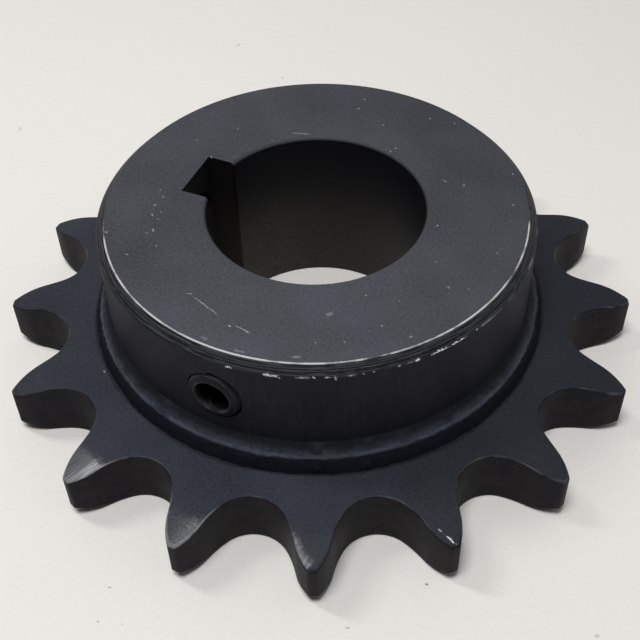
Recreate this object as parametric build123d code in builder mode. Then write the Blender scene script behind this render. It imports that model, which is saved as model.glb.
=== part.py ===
from build123d import *
from math import cos, radians, sin, sqrt, tan
import os

# Welded steel sprocket for roller chain of 1 1/4 in pitch (number 100 size), bored and keyed.
# The bore axis is Z and the flat back face is z = 0, with the hub standing up from the plate.
# The middle of one tooth and the keyway lie on +X. All sizes are in millimetres.

# Chain and teeth
pitch = 31.75
roller_diameter = 19.05
tooth_count = 16
seat_clearance = 0.4  # added to the radius of each roller seat

# Toothed plate
plate_thickness = 17.0
bevel_depth = 2.5  # taken off each face at the tooth tips
bevel_angle = 15  # between the bevel and the face
tip_round = 0.8  # where a flank meets the outside diameter
least_tip_width = 1.2  # the plate is turned smaller where its teeth would end narrower than this
plate_bore_chamfer = 0.5

# Hub, with a spigot that carries the plate
hub_diameter = 117.475
hub_length = 50.8
hub_chamfer = 2.4
spigot_diameter = 95.25
spigot_clearance = 0.05  # radial
spigot_chamfer = 0.5

# Bore and keyway
bore_diameter = 58.7375
bore_hub_chamfer = 0.8  # round the bore at the hub's end
bore_back_chamfer = 0.4  # round the bore at the back face
keyway_width = 15.875
keyway_depth = 7.9375  # down the side of the key

# Weld bead between the plate and the hub
weld_plate_leg = 4.8
weld_hub_leg = 6.6
weld_crown = 1.0  # rise above the straight line between the two toes

# Set screws, 5/8 in with a 5/16 in hexagon socket and a cup point
screw_diameter = 15.875
screw_clearance = 0.05  # radial, in the tapped hole
screw_proud = 1.0  # how far the socket end stands out of the hub
screw_end_chamfer = 2.6
side_screw_angle = 88  # round from the keyway
side_screw_gap = 4.97  # from the bore to the screw's point
side_screw_turn = 22  # of the hexagon about the screw's axis
keyway_screw_angle = 0
keyway_screw_gap = 4.47  # from the keyway's floor to the screw's point
keyway_screw_turn = 10
socket_across_flats = 7.9375
socket_depth = 7.0
socket_mouth_diameter = 9.9  # of the cone that leads into the hexagon
socket_mouth_depth = 2.4
cup_diameter = 7.9
cup_depth = 1.6

# How far a cutting shape runs past the surface that it cuts
cut_over = 1.0

# Radii and heights that follow from these
half_tooth = 180 / tooth_count
pitch_radius = pitch / (2 * sin(radians(half_tooth)))
hub_radius = hub_diameter / 2
bore_radius = bore_diameter / 2
spigot_radius = spigot_diameter / 2
keyway_floor = sqrt(bore_radius**2 - (keyway_width / 2) ** 2) + keyway_depth
weld_top_height = plate_thickness + weld_hub_leg
hub_chamfer_height = hub_length - hub_chamfer
screw_radius = screw_diameter / 2
screw_height = (weld_top_height + hub_chamfer_height) / 2  # halfway up the hub's plain wall


def polar(distance, angle):
    """The point at this distance and angle, in degrees, from a sketch's origin."""
    return Vector(distance * cos(radians(angle)), distance * sin(radians(angle)))


def screw_section_plane(angle):
    """Upright plane through a set screw's axis, with its X axis pointing out of the hub."""
    return Plane(origin=(0, 0, screw_height), x_dir=polar(1, angle), z_dir=polar(1, angle - 90))


def screw_end_plane(angle, distance):
    """Plane across a set screw's axis, this far out from the bore's axis and facing outward."""
    middle = polar(distance, angle) + Vector(0, 0, screw_height)
    return Plane(origin=middle, x_dir=polar(1, angle + 90), z_dir=polar(1, angle))


# One tooth gap, seen along the bore. Its origin is the middle of the roller and X points outward.
# The roller seat runs on each side into a working arc, a short straight and a topping arc,
# which would meet the next gap's topping arc at a point if the outside diameter didn't cut it off.
# The shares of the roller diameter and the angles, in degrees, are the chain standard's.
seat_share = 0.5025
working_share = 0.8
topping_share = 1.4
seat_radius = seat_share * roller_diameter + seat_clearance
working_offset = working_share * roller_diameter  # from the roller's middle to the working arc's
topping_offset = topping_share * roller_diameter  # from the roller's middle to the topping arc's
seat_angle = 35 + 60 / tooth_count
working_angle = 18 - 56 / tooth_count
topping_angle = 17 - 64 / tooth_count
pressure_angle = seat_angle - working_angle
straight_length = topping_offset * sin(radians(topping_angle)) - working_offset * sin(
    radians(working_angle)
)

seat_bottom = Vector(-seat_radius, 0)
seat_end = polar(seat_radius, 90 + seat_angle)
working_centre = polar(working_offset, seat_angle - 90)
working_radius = working_offset + seat_radius
working_middle = working_centre + polar(working_radius, 90 + seat_angle - working_angle / 2)
working_end = working_centre + polar(working_radius, 90 + pressure_angle)
straight_end = working_end + polar(straight_length, pressure_angle)
topping_centre = polar(topping_offset, 90 + half_tooth)
topping_radius = (straight_end - topping_centre).length
tooth_middle_gap = topping_offset - pitch / 2  # from the topping arc's middle to the tooth's
tooth_point = (
    topping_centre
    + polar(tooth_middle_gap, half_tooth - 90)
    + polar(sqrt(topping_radius**2 - tooth_middle_gap**2), half_tooth)
)

# The plate's outside radius, and the width of a tooth there. Heights up a tooth's middle line are
# measured from between the middles of its two topping arcs.
topping_level = pitch_radius * cos(radians(half_tooth))
narrowest_offset = tooth_middle_gap + least_tip_width / 2
narrowest_radius = topping_level + sqrt(topping_radius**2 - narrowest_offset**2)
standard_radius = pitch * (0.6 + 1 / tan(radians(half_tooth))) / 2
outside_radius = min(standard_radius, narrowest_radius)
tip_half_width = sqrt(topping_radius**2 - (outside_radius - topping_level) ** 2) - tooth_middle_gap

# The corner of the gap's outline out past the outside radius, on the tooth's middle line.
corner_radius = outside_radius / cos(radians(half_tooth)) + cut_over
gap_corner = polar(corner_radius, half_tooth) - Vector(pitch_radius, 0)

with BuildSketch() as tooth_gap:
    with BuildLine():
        RadiusArc(seat_bottom, seat_end, seat_radius)
        ThreePointArc(seat_end, working_middle, working_end)
        Line(working_end, straight_end)
        RadiusArc(straight_end, tooth_point, -topping_radius)
        Polyline(tooth_point, gap_corner, (gap_corner.X, 0))
        mirror(about=Plane.XZ)
    make_face()

# The toothed plate, bevelled on both faces at the tooth tips, with a plain hole for the spigot.
plate_bore_radius = spigot_radius + spigot_clearance
bevel_start_radius = outside_radius - bevel_depth / tan(radians(bevel_angle))
bevel_outer_radius = outside_radius + cut_over
bevel_outer_depth = (bevel_outer_radius - bevel_start_radius) * tan(radians(bevel_angle))

with BuildPart() as tooth_plate:
    with BuildSketch() as outline:
        Circle(outside_radius)
        with PolarLocations(pitch_radius, tooth_count, start_angle=half_tooth):
            add(tooth_gap.sketch, mode=Mode.SUBTRACT)
        tip_corners = outline.vertices().group_by(SortBy.DISTANCE)[-1]
        fillet(tip_corners, min(tip_round, tip_half_width))
    extrude(amount=plate_thickness)
    for face_height, inward in ((0, 1), (plate_thickness, -1)):
        with BuildSketch(Plane.XZ):
            with BuildLine():
                Polyline(
                    (bevel_start_radius, face_height),
                    (bevel_outer_radius, face_height),
                    (bevel_outer_radius, face_height + inward * bevel_outer_depth),
                    close=True,
                )
            make_face()
        revolve(axis=Axis.Z, mode=Mode.SUBTRACT)
    Hole(plate_bore_radius)
    plate_bore_edges = tooth_plate.edges().filter_by(GeomType.CIRCLE).filter_by(
        lambda edge: abs(edge.radius - plate_bore_radius) < spigot_clearance
    )
    chamfer(plate_bore_edges, plate_bore_chamfer)
tooth_plate.part.label = "tooth_plate"

# The hub: one turned piece with a shoulder on the plate's face, bored, keyed and tapped.
with BuildPart() as hub:
    with BuildSketch(Plane.XZ):
        with BuildLine():
            Polyline(
                (bore_radius + bore_back_chamfer, 0),
                (spigot_radius - spigot_chamfer, 0),
                (spigot_radius, spigot_chamfer),
                (spigot_radius, plate_thickness),
                (hub_radius, plate_thickness),
                (hub_radius, hub_chamfer_height),
                (hub_radius - hub_chamfer, hub_length),
                (bore_radius + bore_hub_chamfer, hub_length),
                (bore_radius, hub_length - bore_hub_chamfer),
                (bore_radius, bore_back_chamfer),
                close=True,
            )
        make_face()
    revolve(axis=Axis.Z)
    with BuildSketch():
        Rectangle(keyway_floor, keyway_width, align=(Align.MIN, Align.CENTER))
    extrude(amount=hub_length, mode=Mode.SUBTRACT)
    for screw_angle in (side_screw_angle, keyway_screw_angle):
        with BuildSketch(screw_end_plane(screw_angle, 0)):
            Circle(screw_radius + screw_clearance)
        extrude(amount=hub_radius + cut_over, mode=Mode.SUBTRACT)
hub.part.label = "hub"

# The weld bead, a ring that lies in the corner between the plate and the hub.
weld_toe = Vector(hub_radius + weld_plate_leg, plate_thickness)
weld_top = Vector(hub_radius, weld_top_height)
weld_out = (weld_toe - weld_top).rotate(Axis.Z, 90).normalized()
weld_crest = (weld_toe + weld_top) / 2 + weld_out * weld_crown

with BuildPart() as weld_bead:
    with BuildSketch(Plane.XZ):
        with BuildLine():
            ThreePointArc(weld_toe, weld_crest, weld_top)
            Polyline(weld_top, (hub_radius, plate_thickness), weld_toe)
        make_face()
    revolve(axis=Axis.Z)
weld_bead.part.label = "weld_bead"


def set_screw(angle, point_end, turn):
    """A cup-point set screw at this angle, with its point this far from the bore's axis."""
    socket_end = hub_radius + screw_proud
    face_radius = screw_radius - screw_end_chamfer
    mouth_end = socket_end - socket_mouth_depth
    cup_radius = cup_diameter / 2
    with BuildPart() as screw:
        with BuildSketch(screw_section_plane(angle)):
            with BuildLine():
                Polyline(
                    (point_end + cup_depth, 0),
                    (point_end, cup_radius),
                    (point_end + screw_radius - cup_radius, screw_radius),
                    (socket_end - screw_end_chamfer, screw_radius),
                    (socket_end, face_radius),
                    (socket_end, socket_mouth_diameter / 2),
                    (mouth_end, socket_across_flats / 2),
                    (mouth_end, 0),
                    close=True,
                )
            make_face()
        revolve(axis=Axis((0, 0, screw_height), polar(1, angle)))
        with BuildSketch(screw_end_plane(angle, socket_end)):
            RegularPolygon(socket_across_flats / 2, 6, major_radius=False, rotation=turn)
        extrude(amount=-socket_depth, mode=Mode.SUBTRACT)
    return screw


side_set_screw = set_screw(side_screw_angle, bore_radius + side_screw_gap, side_screw_turn)
side_set_screw.part.label = "side_set_screw"
keyway_set_screw = set_screw(
    keyway_screw_angle, keyway_floor + keyway_screw_gap, keyway_screw_turn
)
keyway_set_screw.part.label = "keyway_set_screw"

os.makedirs("parts", exist_ok=True)
for piece in (hub, tooth_plate, weld_bead, side_set_screw, keyway_set_screw):
    export_step(piece.part, f"parts/{piece.part.label}.step")
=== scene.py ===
import math
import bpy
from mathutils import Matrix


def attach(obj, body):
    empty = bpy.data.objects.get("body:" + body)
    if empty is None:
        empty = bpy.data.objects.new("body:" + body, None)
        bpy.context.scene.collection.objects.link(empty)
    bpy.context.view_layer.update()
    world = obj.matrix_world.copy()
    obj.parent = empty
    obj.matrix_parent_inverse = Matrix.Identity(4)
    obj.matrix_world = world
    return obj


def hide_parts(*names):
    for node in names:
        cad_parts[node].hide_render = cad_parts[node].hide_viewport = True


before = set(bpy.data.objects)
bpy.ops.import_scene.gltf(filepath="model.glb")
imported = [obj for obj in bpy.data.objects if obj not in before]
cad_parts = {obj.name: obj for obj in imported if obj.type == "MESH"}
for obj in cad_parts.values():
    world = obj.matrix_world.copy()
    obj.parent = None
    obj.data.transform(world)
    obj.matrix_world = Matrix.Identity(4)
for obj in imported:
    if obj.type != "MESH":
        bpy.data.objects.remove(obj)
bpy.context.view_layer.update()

from types import SimpleNamespace

import bmesh
import bpy
from mathutils import Matrix, Vector

# A welded steel chain sprocket, finished in black oxide: a toothed plate, a bored and keyed hub, the weld
# between them and two set screws. The bore axis is Z. Sizes in the dictionaries are in millimetres, and
# directions round the axis in degrees from +X.

mm = 0.001
print("frame loaded:", sorted(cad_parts))


def polar(distance, angle):
    return Vector((distance * math.cos(math.radians(angle)), distance * math.sin(math.radians(angle))))


# node trees, written as formulas
class Term:
    # a node's output that can stand in a formula
    def __init__(self, socket):
        self.socket = socket
        self.tree = socket.id_data


def addOperator(name, operation):
    setattr(Term, f"__{name}__", lambda self, other: calc(operation, self, other))
    setattr(Term, f"__r{name}__", lambda self, other: calc(operation, other, self))


for name, operation in {"add": "ADD", "sub": "SUBTRACT", "mul": "MULTIPLY", "truediv": "DIVIDE"}.items():
    addOperator(name, operation)


def feed(socket, value):
    # links a node's output to the socket, or sets a plain value on it; colours come without their alpha
    if isinstance(value, Term):
        value.tree.links.new(value.socket, socket)
    else:
        socket.default_value = (*value, 1) if socket.type == "RGBA" else value


def treeOf(values):
    # the tree that a formula's terms belong to
    return next(value.tree for value in values if isinstance(value, Term))


def addNode(tree, kind, inputs=None, **settings):
    made = tree.nodes.new(kind)
    for name, value in settings.items():
        setattr(made, name, value)
    for key, value in (inputs or {}).items():
        feed(made.inputs[key], value)
    return made


def addTerm(tree, kind, inputs=None, key=0, **settings):
    return Term(addNode(tree, kind, inputs, **settings).outputs[key])


def calc(operation, *values):
    return addTerm(treeOf(values), "ShaderNodeMath", dict(enumerate(values)), operation=operation)


def vectorCalc(operation, *values, key="Vector"):
    return addTerm(treeOf(values), "ShaderNodeVectorMath", dict(enumerate(values)), key, operation=operation)


def dot(first, second):
    return vectorCalc("DOT_PRODUCT", first, second, key="Value")


def towards(place, direction):
    # how far a place lies from the axis in a direction
    return dot(place, (*polar(1, direction), 0))


def fade(value, low, high, kind="SMOOTHSTEP"):
    # 0 at low and 1 at high, held outside them
    inputs = {"Value": value, "From Min": low, "From Max": high}
    return addTerm(value.tree, "ShaderNodeMapRange", inputs, interpolation_type=kind)


def band(value, middle, reach):
    # 1 at the middle value, fading to 0 at this reach either side of it
    return 1 - fade(calc("ABSOLUTE", value - middle), 0.0, reach)


def awayFrom(angle, direction):
    # how far round the axis an angle is from a direction, in radians
    return calc("ABSOLUTE", calc("WRAP", angle - math.radians(direction), math.pi, -math.pi))


def window(angle, middle, half, soft):
    # 1 round a direction, fading out over the soft degrees either side of half a width from it
    return 1 - fade(awayFrom(angle, middle), math.radians(half - soft), math.radians(half + soft))


def blendValue(factor, low, high):
    return addTerm(factor.tree, "ShaderNodeMix", {0: factor, 2: low, 3: high}, data_type="FLOAT")


def blendColor(factor, low, high):
    return addTerm(factor.tree, "ShaderNodeMix", {0: factor, 6: low, 7: high}, 2, data_type="RGBA")


def splitXYZ(vector):
    return [Term(socket) for socket in addNode(vector.tree, "ShaderNodeSeparateXYZ", {0: vector}).outputs]


def joinXYZ(*values):
    return addTerm(treeOf(values), "ShaderNodeCombineXYZ", dict(enumerate(values)))


def noiseValue(vector, scale, detail=2.0, roughness=0.5, key="Fac"):
    inputs = {"Vector": vector, "Scale": scale, "Detail": detail, "Roughness": roughness}
    return addTerm(vector.tree, "ShaderNodeTexNoise", inputs, key)


def socketType(value):
    # for an input with this value: none is geometry, three numbers are a vector and four a colour
    if isinstance(value, tuple):
        return "NodeSocketVector" if len(value) == 3 else "NodeSocketColor"
    kinds = {type(None): "Geometry", bpy.types.Material: "Material", int: "Int", float: "Float"}
    return "NodeSocket" + kinds[type(value)]


def newTree(name, kind, inputs):
    # an empty tree with an input for each named value, and those inputs as terms
    tree = bpy.data.node_groups.new(name, kind)
    for label, value in inputs.items():
        made = tree.interface.new_socket(name=label, in_out="INPUT", socket_type=socketType(value))
        if value is not None:
            made.default_value = value
    source = tree.nodes.new("NodeGroupInput")
    return tree, SimpleNamespace(**{label: Term(source.outputs[label]) for label in inputs})


# the shader groups that the materials share
def shaderGroup(name, build, **inputs):
    # a group with named inputs and the outputs that build works out from them
    tree, given = newTree(name, "ShaderNodeTree", inputs)
    results = build(given)
    for label, term in results.items():
        kind = "NodeSocketColor" if term.socket.type == "RGBA" else "NodeSocketFloat"
        tree.interface.new_socket(name=label, in_out="OUTPUT", socket_type=kind)
    end = tree.nodes.new("NodeGroupOutput")
    for label, term in results.items():
        feed(end.inputs[label], term)
    return tree


def placeGroup(group, **values):
    # puts a group in the tree that its values come from, and returns its outputs by name
    made = addNode(treeOf(values.values()), "ShaderNodeGroup", node_tree=group)
    for label, value in values.items():
        feed(made.inputs[label], value)
    return SimpleNamespace(**{socket.name: Term(socket) for socket in made.outputs})


def oxide(given):
    # the cloudy tone of black oxide, from handling oil and uneven colouring
    cloud = fade(noiseValue(given.place, given.cloudScale, 3.0, 0.6), 0.3, 0.7, "LINEAR")
    grain = noiseValue(given.place, given.grainScale, 4.0, 0.8)
    share = cloud * 0.3 + 0.35 + (grain - 0.5) * given.grainAmount
    return {"tone": blendColor(share, given.dark, given.light), "cloud": cloud, "grain": grain}


def turned(given):
    # the fine ridges that a lathe tool leaves, one for each turn, along a distance in metres
    wobble = noiseValue(given.place, 60.0, 1.0)
    ridge = calc("SINE", (given.distance + wobble * 0.0002) / given.toolFeed * math.tau) * 0.5 + 0.5
    streak = noiseValue(joinXYZ(given.distance, 0.0, wobble * 0.002), 2600.0, 3.0, 0.7)
    return {"ridge": blendValue(given.unevenness, ridge, streak), "streak": streak}


def wornAndHighlit(given):
    # bare or polished metal along an edge, partly a painted highlight, where nearness is 1: a broken line that
    # widens and thins
    bareAndHighlit = fade(noiseValue(given.place, given.breaks, 3.0, 0.6) + given.amount, 0.75, 1.15)
    fine = noiseValue(given.place, 1800.0, 2.0, 0.6)
    reach = given.nearness * (0.35 + bareAndHighlit * 0.9 + (fine - 0.5) * 0.9)
    return {"mask": fade(reach, 0.3, 0.8) * bareAndHighlit}


def speckled(given):
    # small bright specks of lint and bared grain, a few to each square centimetre
    cells = addNode(given.place.tree, "ShaderNodeTexVoronoi", {"Vector": given.place, "Scale": given.scale})
    pick = addTerm(given.place.tree, "ShaderNodeSeparateColor", {0: Term(cells.outputs["Color"])})
    spot = 1 - fade(Term(cells.outputs["Distance"]), given.size * 0.4, given.size)
    return {"mask": spot * calc("LESS_THAN", pick, given.share)}


def nicked(given):
    # one bright mark: a line of a length and a width about its middle
    offset = vectorCalc("SUBTRACT", given.place, given.middle)
    run, length = dot(offset, given.along), vectorCalc("LENGTH", offset, key="Value")
    across = calc("SQRT", calc("MAXIMUM", length * length - run * run, 0.0))
    share = calc("ABSOLUTE", run) / (given.length * 0.5) + (given.rough - 0.5) * 1.2
    width = given.width * (0.1 + given.rough * 0.8)
    return {"mask": (1 - fade(share, 0.5, 1.0)) * (1 - fade(across / width, 0.3, 1.0))}


def stroked(given):
    # an area ground on a belt, beyond a straight line through its middle, with strokes one way
    offset = vectorCalc("SUBTRACT", given.place, given.middle)

    def measured(direction):
        # how far the offset goes along the direction, and square to it
        x, y, _ = splitXYZ(direction)
        return dot(offset, direction), dot(offset, joinXYZ(0.0 - y, x, 0.0))

    ragged = noiseValue(given.place, 500.0, 3.0, 0.7) - 0.5
    beyond, beside = measured(given.inward)
    beyond = beyond + ragged * 0.004
    inside = fade(beyond, -0.001, 0.0022) * (1 - fade(beyond / given.reach, 0.75, 1.0))
    inside = inside * (1 - fade(calc("ABSOLUTE", beside) / given.halfWidth, 0.8, 1.0))
    long, square = measured(given.along)
    height = splitXYZ(given.place)[2]
    stroke = noiseValue(joinXYZ(long * given.stretch, square, height * 0.1), given.fineness, 3.0, 0.65)
    # brighter towards one side
    shade = fade(square, given.brightSide - 0.0065, given.brightSide + 0.0005)
    stroke = 0.32 + shade * shade * 0.5 + (fade(stroke, 0.38, 0.66) - 0.5) * (shade * 0.35 + 0.26)
    return {"mask": inside * (shade * 0.4 + 0.6), "stroke": stroke}


# what each group starts with, with lengths in metres
centre, ahead = (0.0, 0.0, 0.0), (1.0, 0.0, 0.0)
oxideTone = shaderGroup(
    "oxideTone",
    oxide,
    place=centre,
    dark=(0.02, 0.02, 0.02, 1.0),
    light=(0.05, 0.05, 0.05, 1.0),
    cloudScale=40.0,
    grainScale=900.0,
    grainAmount=2.0,
)
turnedMarks = shaderGroup(
    "turnedMarks", turned, place=centre, distance=0.0, toolFeed=0.00025, unevenness=0.5
)
edgeWearAndHighlight = shaderGroup("edgeWearAndHighlight", wornAndHighlit, place=centre, nearness=0.0, amount=0.5, breaks=150.0)
paleSpecks = shaderGroup("paleSpecks", speckled, place=centre, scale=350.0, share=0.06, size=0.17)
brightNick = shaderGroup(
    "brightNick", nicked, place=centre, middle=centre, along=ahead, length=0.004, width=0.0004, rough=0.5
)
groundStrokes = shaderGroup(
    "groundStrokes",
    stroked,
    place=centre,
    middle=centre,
    inward=ahead,
    along=ahead,
    reach=0.003,
    halfWidth=0.005,
    brightSide=0.004,
    stretch=0.06,
    fineness=2000.0,
)


def startMaterial(name, gloss=0.25):
    # a material, with the object's own coordinates and the surface's normal
    material = bpy.data.materials.new(name)
    material.use_nodes = True
    material.node_tree.nodes["Principled BSDF"].inputs["Specular IOR Level"].default_value = gloss
    coords = addNode(material.node_tree, "ShaderNodeTexCoord")
    return material, Term(coords.outputs["Object"]), Term(coords.outputs["Normal"])


def finishMaterial(material, tone, roughness, height, strength=0.3):
    shader = material.node_tree.nodes["Principled BSDF"]
    bump = {"Height": height, "Strength": strength, "Distance": 0.2 * mm}
    feed(shader.inputs["Base Color"], tone)
    feed(shader.inputs["Roughness"], roughness)
    feed(shader.inputs["Normal"], addTerm(material.node_tree, "ShaderNodeBump", bump))
    return material


def roundAxis(place):
    # a place's distance from the axis, its angle round it and its height
    x, y, z = splitXYZ(place)
    return calc("SQRT", x * x + y * y), calc("ARCTAN2", y, x), z


def readAttribute(place, name):
    return addTerm(place.tree, "ShaderNodeAttribute", key="Fac", attribute_name=name)


def surfaceMarks(place, marks):
    # nicks and scratches, each given as: (direction, radius, height, lean from the way round the axis, dip,
    # length, width, strength)
    rough, total = noiseValue(place, 1300.0, 3.0, 0.75), 0.0
    # moved about a little, for ragged outlines
    shift = vectorCalc("SUBTRACT", noiseValue(place, 1200.0, 3.0, 0.7, "Color"), (0.5, 0.5, 0.5))
    ragged = vectorCalc("ADD", place, vectorCalc("MULTIPLY", shift, (0.0013, 0.0013, 0.0013)))
    for direction, radius, height, lean, dip, length, width, strength in marks:
        tilt = math.radians(dip)
        mark = placeGroup(
            brightNick,
            place=ragged,
            middle=(*polar(radius * mm, direction), height * mm),
            along=(*polar(math.cos(tilt), direction + 90 + lean), -math.sin(tilt)),
            length=length * mm,
            width=width * mm,
            rough=rough,
        )
        total = calc("MAXIMUM", mark.mask * strength, total)
    return total


def flatMarks(marks, height):
    # marks on a level face, filled up with its height and no dip
    return [(direction, radius, height, lean, 0, *rest) for direction, radius, lean, *rest in marks]


print("shared groups built")


# what the geometry shares
def meshFrom(work, name, material):
    mesh = bpy.data.meshes.new(name)
    work.to_mesh(mesh)
    work.free()
    mesh.materials.append(material)
    return mesh


def addObject(name, data):
    made = bpy.data.objects.new(name, data)
    bpy.context.scene.collection.objects.link(made)
    return made


def guidePoints(name, points, label, vectors):
    # loose points in a row, each with a vector stored on it, for a tree to read by index
    mesh = bpy.data.meshes.new(name)
    mesh.from_pydata([tuple(point) for point in points], [], [])
    layer = mesh.attributes.new(label, "FLOAT_VECTOR", "POINT")
    for item, stored in zip(layer.data, vectors):
        item.vector = stored
    return mesh


def readGuide(given, label, index):
    # a guide point's place, and the vector stored on it
    tree, kind = given.guide.tree, "FLOAT_VECTOR"
    place = addTerm(tree, "GeometryNodeInputPosition")
    stored = addTerm(tree, "GeometryNodeInputNamedAttribute", {"Name": label}, data_type=kind)
    inputs = {"Geometry": given.guide, "Index": index}
    return [
        addTerm(tree, "GeometryNodeSampleIndex", {**inputs, "Value": value}, data_type=kind)
        for value in (place, stored)
    ]


def startGrid(tree, columns, rows):
    # a sheet that wraps round the axis and closes at its last column, and each point's column and row
    grid = addTerm(tree, "GeometryNodeMeshGrid", {"Vertices X": columns + 1, "Vertices Y": rows})
    index = addTerm(tree, "GeometryNodeInputIndex")
    column = calc("FLOOR", (index + 0.5) / rows)
    return grid, column, index - column * rows


def finishGrid(grid, place, label, value, material):
    # moves the sheet's points to their places, stores a value on each, closes the seams and paints it
    tree = grid.tree
    shape = addTerm(tree, "GeometryNodeSetPosition", {"Geometry": grid, "Position": place})
    stored = {"Geometry": shape, "Name": label, "Value": value}
    shape = addTerm(tree, "GeometryNodeStoreNamedAttribute", stored, data_type="FLOAT")
    shape = addTerm(tree, "GeometryNodeMergeByDistance", {"Geometry": shape, "Distance": 0.004 * mm})
    shape = addTerm(tree, "GeometryNodeRealizeInstances", {"Geometry": shape})
    shape = addTerm(tree, "GeometryNodeSetMaterial", {"Geometry": shape, "Material": material})
    tree.interface.new_socket(name="shape", in_out="OUTPUT", socket_type="NodeSocketGeometry")
    feed(tree.nodes.new("NodeGroupOutput").inputs["shape"], shape)
    return tree


def inMetres(sizes, *names):
    return {name: sizes[name] * mm for name in names}


def growMesh(name, tree, inputs, guide=None):
    # runs a Geometry Nodes tree once and keeps what it makes as a plain mesh
    made = addObject(name, guide or bpy.data.meshes.new(name))
    modifier = made.modifiers.new(name, "NODES")
    modifier.node_group = tree
    for item in tree.interface.items_tree:
        if inputs.get(item.name) is not None:
            modifier[item.identifier] = inputs[item.name]
    graph = bpy.context.evaluated_depsgraph_get()
    mesh = bpy.data.meshes.new_from_object(made.evaluated_get(graph), depsgraph=graph)
    made.modifiers.remove(modifier)
    made.data = mesh
    mesh.name = name
    return made


def tidyFaces(mesh, sharpAngle):
    # merges what coincides, turns every face outward, smooths it and keeps the edges crisp
    work = bmesh.new()
    work.from_mesh(mesh)
    bmesh.ops.remove_doubles(work, verts=work.verts, dist=0.002 * mm)
    bmesh.ops.dissolve_degenerate(work, dist=0.001 * mm, edges=work.edges)
    bmesh.ops.recalc_face_normals(work, faces=work.faces)
    work.to_mesh(mesh)
    work.free()
    mesh.shade_smooth()
    mesh.set_sharp_from_angle(angle=math.radians(sharpAngle))


def finishPiece(piece, node):
    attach(piece, "root")
    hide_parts(node)
    print(piece.name, "built:", len(piece.data.polygons), "faces")


# the toothed plate
plateSizes = {
    "pitch": 31.75,
    "rollerDiameter": 19.05,
    "seatClearance": 0.4,
    "toothCount": 16,
    "thickness": 17.0,
    "outsideRadius": 89.334,
    "tipRound": 0.6,
    "tipWornFrom": 83.0,
    "tipWorn": 0.4,
    "bevelStart": 80.004,
    "bevelAngle": 15.0,
    "bevelBlend": 2.2,
    "edgeBreak": 0.35,
    "tipBreakFrom": 82.0,
    "tipBreak": 0.8,
    "holeRadius": 47.675,
    "columnsPerHalfTooth": 40,
    "seed": 4,
    # the weld's toe on the plate, darkened with painted shade of the undercut and some heat tint, and the
    # direction in which the plate's painted shade darkens
    "weldToe": 63.5,
    "shadedSide": 190,
    # where the edges are brightest, worn bare and with a painted highlight: (middle, half, fading)
    "wornAndHighlitSide": (78, 22, 8),
    # belt-ground tips: the ground side's middle (direction, radius), its heading and the strokes', how far in
    # it goes, half its width, where its bright side lies, how round the strokes are, strength
    "ground": (
        (67.5, 79.7, 67.5, 59.0, 13.0, 7.5, 4.1, 0.06, 1.0),
        (90.0, 80.5, 90.0, 76.0, 14.0, 7.5, 3.6, 0.7, 0.32),
        (111.0, 83.2, 57.4, 75.0, 4.0, 5.6, -3.5, 0.1, 0.6),
    ),
    "marks": (
        (134.5, 87.0, 15.2, -65, 13, 5.4, 0.5, 1.0),
        (133.6, 84.4, 15.9, -60, 13, 1.2, 0.7, 0.6),
        (49.3, 64.6, 17.0, 20, 0, 1.0, 0.8, 0.2),
    ),
}


def arc(middle, radius, start, stop, steps):
    # points along an arc, without its last one
    return [middle + polar(radius, start + (stop - start) * step / steps) for step in range(steps)]


def angleOf(point):
    return math.degrees(math.atan2(point.y, point.x))


def halfToothOutline(sizes):
    # by the roller chain standard, from a gap's bottom on +X to the middle of the tooth beside it
    teeth, roller, tipRound = sizes["toothCount"], sizes["rollerDiameter"], sizes["tipRound"]
    halfTooth = 180 / teeth
    gapMiddle = Vector((sizes["pitch"] / 2 / math.sin(math.radians(halfTooth)), 0))
    seatRadius = 0.5025 * roller + sizes["seatClearance"]
    seatAngle, workingAngle, toppingAngle = 35 + 60 / teeth, 18 - 56 / teeth, 17 - 64 / teeth
    pressureAngle = seatAngle - workingAngle
    workingOffset, toppingOffset = 0.8 * roller, 1.4 * roller
    workingRadius = workingOffset + seatRadius
    workingMiddle = gapMiddle + polar(workingOffset, seatAngle - 90)
    straightLength = toppingOffset * math.sin(math.radians(toppingAngle))
    straightLength -= workingOffset * math.sin(math.radians(workingAngle))
    straightStart = workingMiddle + polar(workingRadius, 90 + pressureAngle)
    straightEnd = straightStart + polar(straightLength, pressureAngle)
    toppingMiddle = gapMiddle + polar(toppingOffset, 90 + halfTooth)
    toppingRadius = (straightEnd - toppingMiddle).length
    # the tip's round touches the outside circle and, this far back from the tooth's middle, the flank
    low, high = 0.0, halfTooth / 2
    for _ in range(50):
        back = (low + high) / 2
        roundMiddle = polar(sizes["outsideRadius"] - tipRound, halfTooth - back)
        room = toppingRadius - (roundMiddle - toppingMiddle).length
        low, high = (back, high) if room > tipRound else (low, back)
    flankAngle, touchAngle = angleOf(straightEnd - toppingMiddle), angleOf(roundMiddle - toppingMiddle)
    points = arc(gapMiddle, seatRadius, 180, 90 + seatAngle, 60)
    points += arc(workingMiddle, workingRadius, 90 + seatAngle, 90 + pressureAngle, 40) + [straightStart]
    points += arc(toppingMiddle, toppingRadius, flankAngle, touchAngle, 60)
    points += arc(roundMiddle, tipRound, touchAngle, halfTooth - back, 12)
    points += [polar(sizes["outsideRadius"], angle) for angle in (halfTooth - back, halfTooth)]
    return [wornTip(point, polar(1, halfTooth), sizes) for point in points]


def wornTip(point, toothMiddle, sizes):
    # brings the tooth's side nearer its middle towards the tip
    aside = point - toothMiddle * point.dot(toothMiddle)
    if aside.length < 1e-6:
        return point
    reach = (point.length - sizes["tipWornFrom"]) / (sizes["outsideRadius"] - sizes["tipWornFrom"])
    moved = sizes["tipWorn"] * min(max(reach, 0.0), 1.0) * min(aside.length, 1.0)
    return point - aside.normalized() * moved


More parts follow.
